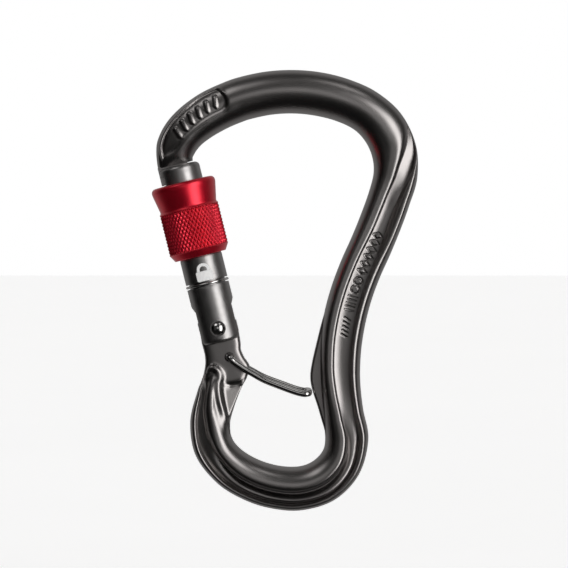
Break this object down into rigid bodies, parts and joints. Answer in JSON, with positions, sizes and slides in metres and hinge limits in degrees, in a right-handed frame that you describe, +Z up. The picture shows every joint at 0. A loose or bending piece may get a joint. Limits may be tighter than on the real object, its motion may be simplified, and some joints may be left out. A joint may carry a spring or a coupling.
{
  "type": "locking carabiner",
  "caption": "Pear-shaped screw-gate carabiner: forged I-beam frame, keylock gate with spring and plunger, knurled locking sleeve, and a sprung wire keeper that closes off a belay-loop bay.",
  "frame": {"origin": "the rope seat: lowest point of the inside of the top bow, on the mid plane of the bar", "axes": "+Z up along the carabiner's length, towards the top bow; +X from the gate towards the spine; Y through the thickness of the bar"},
  "size_m": [0.0723, 0.0176, 0.1199],
  "materials": {
    "gunmetal_aluminium": "dark grey anodised, satin, fine tumbled texture with brighter worn edges",
    "red_aluminium": "red anodised, satin, knurled band",
    "polished_steel": "polished stainless steel",
    "keeper_steel": "drawn stainless wire, polished",
    "spring_steel": "drawn stainless spring wire",
    "marking_white": "thin white printed warning mark, padlock shape"
  },
  "bodies": {
    "frame": {"frame": "gunmetal_aluminium"},
    "gate": {"gate_barrel": "gunmetal_aluminium", "hinge_rivet": "polished_steel", "gate_spring": "spring_steel", "sleeve_stop_ring": "polished_steel"},
    "plunger": {"spring_plunger": "spring_steel"},
    "sleeve": {"locking_sleeve": "red_aluminium"},
    "keeper": {"wire_keeper": "keeper_steel"}
  },
  "joints": [
    {"name": "gate_pivot", "type": "hinge", "parent": "frame", "child": "gate", "pos_m": [-0.01977, 0, -0.05831], "axis": [0, 1, 0], "range_deg": [0, 36], "stiffness_Nm_per_rad": 0.15, "springref_deg": -45.84},
    {"name": "plunger_slide", "type": "slide", "parent": "gate", "child": "plunger", "axis": [-0.2402, 0, 0.9707], "range_m": [0, 0.0011], "deforming": ["gate_spring"]},
    {"name": "sleeve_travel", "type": "slide", "parent": "gate", "child": "sleeve", "axis": [-0.2402, 0, 0.9707], "range_m": [-0.0069, 0.006]},
    {"name": "keeper_pivot", "type": "hinge", "parent": "frame", "child": "keeper", "pos_m": [-0.01672, 0, -0.06616], "axis": [0, 1, 0], "range_deg": [0, 38], "stiffness_Nm_per_rad": 0.01, "springref_deg": -28.65}
  ],
  "couplings": [
    {"joint": "plunger_slide", "follows": "gate_pivot", "m_per_rad": 0.00162}
  ]
}
